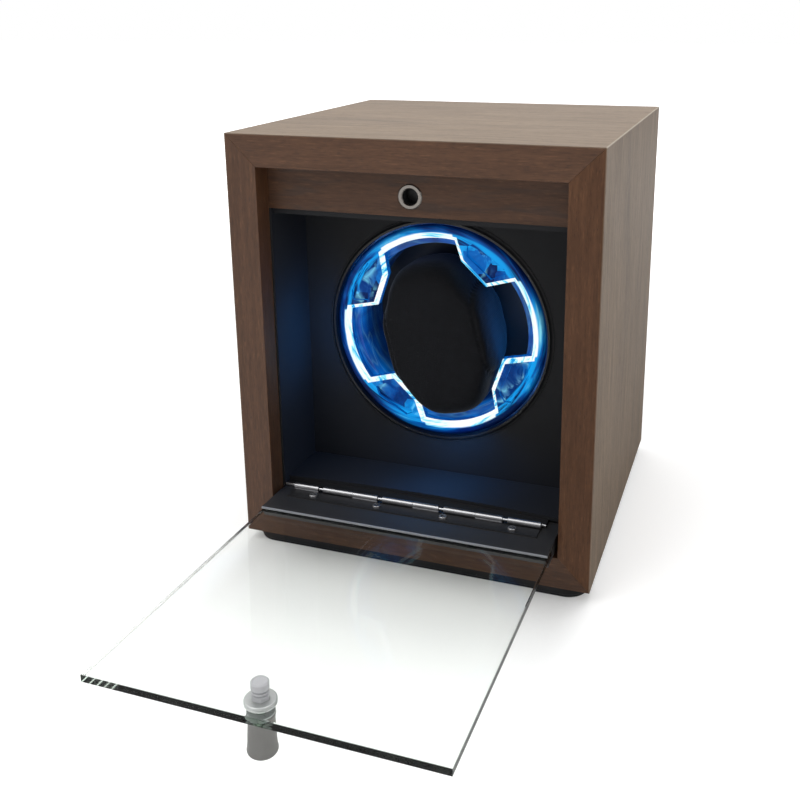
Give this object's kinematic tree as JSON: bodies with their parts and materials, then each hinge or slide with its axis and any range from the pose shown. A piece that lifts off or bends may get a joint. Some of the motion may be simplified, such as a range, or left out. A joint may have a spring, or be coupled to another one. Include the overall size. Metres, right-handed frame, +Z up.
{
  "type": "watch winder",
  "caption": "Walnut-veneered winder box with a bottom-hinged glass door, black lined chamber and motor-driven rotor with a lobed light ring and pull-out cushion",
  "frame": {"origin": "centre of the underside of the felt pad that the case stands on", "axes": "+Z up, +X to the right as seen from the front, -Y out of the front of the case towards the viewer; the door lies open along -Y"},
  "size_m": [0.15, 0.2793, 0.179],
  "materials": {
    "walnut_veneer": "satin open-grain walnut veneer",
    "walnut_fascia": "satin walnut veneer, a little darker",
    "plain_wood": "bare softwood",
    "black_board": "black laminated board",
    "black_lining": "black leatherette card",
    "black_felt": "black felt",
    "black_cushion": "black soft microfibre",
    "black_plastic": "fine matt black moulding",
    "black_extrusion": "satin black anodised",
    "trim_grey": "dark grey satin",
    "clear_acrylic": "clear, polished, lit blue from its edge",
    "clear_glass": "clear float glass with a greenish edge",
    "chrome": "polished chrome plate",
    "satin_metal": "satin grey metal",
    "screw_steel": "zinc-plated",
    "black_screw": "black oxide",
    "motor_steel": "drawn steel",
    "shaft_brass": "turned",
    "blue_plastic": "moulded",
    "green_board": "solder-masked circuit board",
    "white_board": "white solder-masked circuit board",
    "blue_lamp": "surface-mount lamp, lit",
    "chip_black": "moulded chips and sockets",
    "soft_clear": "soft translucent plastic"
  },
  "bodies": {
    "case": {"top_panel": "walnut_veneer", "bottom_panel": "walnut_veneer", "left_panel": "walnut_veneer", "right_panel": "walnut_veneer", "base_plate": "black_board", "base_pad": "black_felt", "base_screws": "screw_steel", "fascia_board": "walnut_fascia", "socket_ring": "chrome", "socket_sleeve": "black_plastic", "left_lining": "black_lining", "right_lining": "black_lining", "ceiling_board": "black_lining", "floor_board": "black_board", "floor_lining": "black_lining", "bezel_panel": "black_board", "side_battens": "plain_wood", "trim_ring": "trim_grey", "drum_housing": "black_plastic", "housing_screws": "black_screw", "led_board": "white_board", "led_chips": "blue_lamp", "shaft_bush": "shaft_brass", "motor_plate": "motor_steel", "motor_can": "motor_steel", "motor_wire_cover": "blue_plastic", "motor_screws": "screw_steel", "hinge_case_leaf": "chrome", "hinge_pin": "chrome", "hinge_case_screws": "screw_steel", "door_rest_pad": "black_felt", "back_panel": "black_board", "back_blocks": "plain_wood", "back_screws": "black_screw", "dc_jack": "black_plastic", "jack_nut": "chrome", "mode_switch_body": "black_plastic", "light_switch_body": "black_plastic", "control_board": "green_board", "board_parts": "chip_black", "board_spacers": "black_plastic", "board_screws": "screw_steel"},
    "door": {"door_strip": "black_extrusion", "hinge_door_leaf": "chrome", "hinge_door_screws": "screw_steel", "glass_pane": "clear_glass", "knob_handle": "satin_metal", "knob_washers": "soft_clear", "knob_collar": "satin_metal", "knob_stud": "screw_steel", "latch_head": "soft_clear"},
    "rotor": {"light_ring": "clear_acrylic", "light_drum": "clear_acrylic", "drum_back": "black_plastic", "drum_hub": "black_plastic", "hub_screws": "screw_steel", "output_shaft": "shaft_brass"},
    "cushion": {"cushion": "black_cushion"},
    "mode_button": {"mode_button": "black_plastic"},
    "light_rocker": {"light_rocker": "black_plastic"}
  },
  "joints": [
    {"name": "door_hinge", "type": "hinge", "parent": "case", "child": "door", "pos_m": [0, -0.0674, 0.0267], "axis": [-1, 0, 0], "range_deg": [0, 88.5]},
    {"name": "rotor_spin", "type": "hinge", "parent": "case", "child": "rotor", "pos_m": [0, 0, 0.092], "axis": [0, -1, 0], "continuous": true},
    {"name": "cushion_pull", "type": "slide", "parent": "rotor", "child": "cushion", "axis": [0, -1, 0], "range_m": [0, 0.022]},
    {"name": "mode_press", "type": "slide", "parent": "case", "child": "mode_button", "axis": [0, -1, 0], "range_m": [0, 0.0015], "stiffness_N_per_m": 400},
    {"name": "light_switch_rock", "type": "hinge", "parent": "case", "child": "light_rocker", "pos_m": [-0.036, 0.073, 0.043], "axis": [0, 0, -1], "range_deg": [0, 14]}
  ]
}
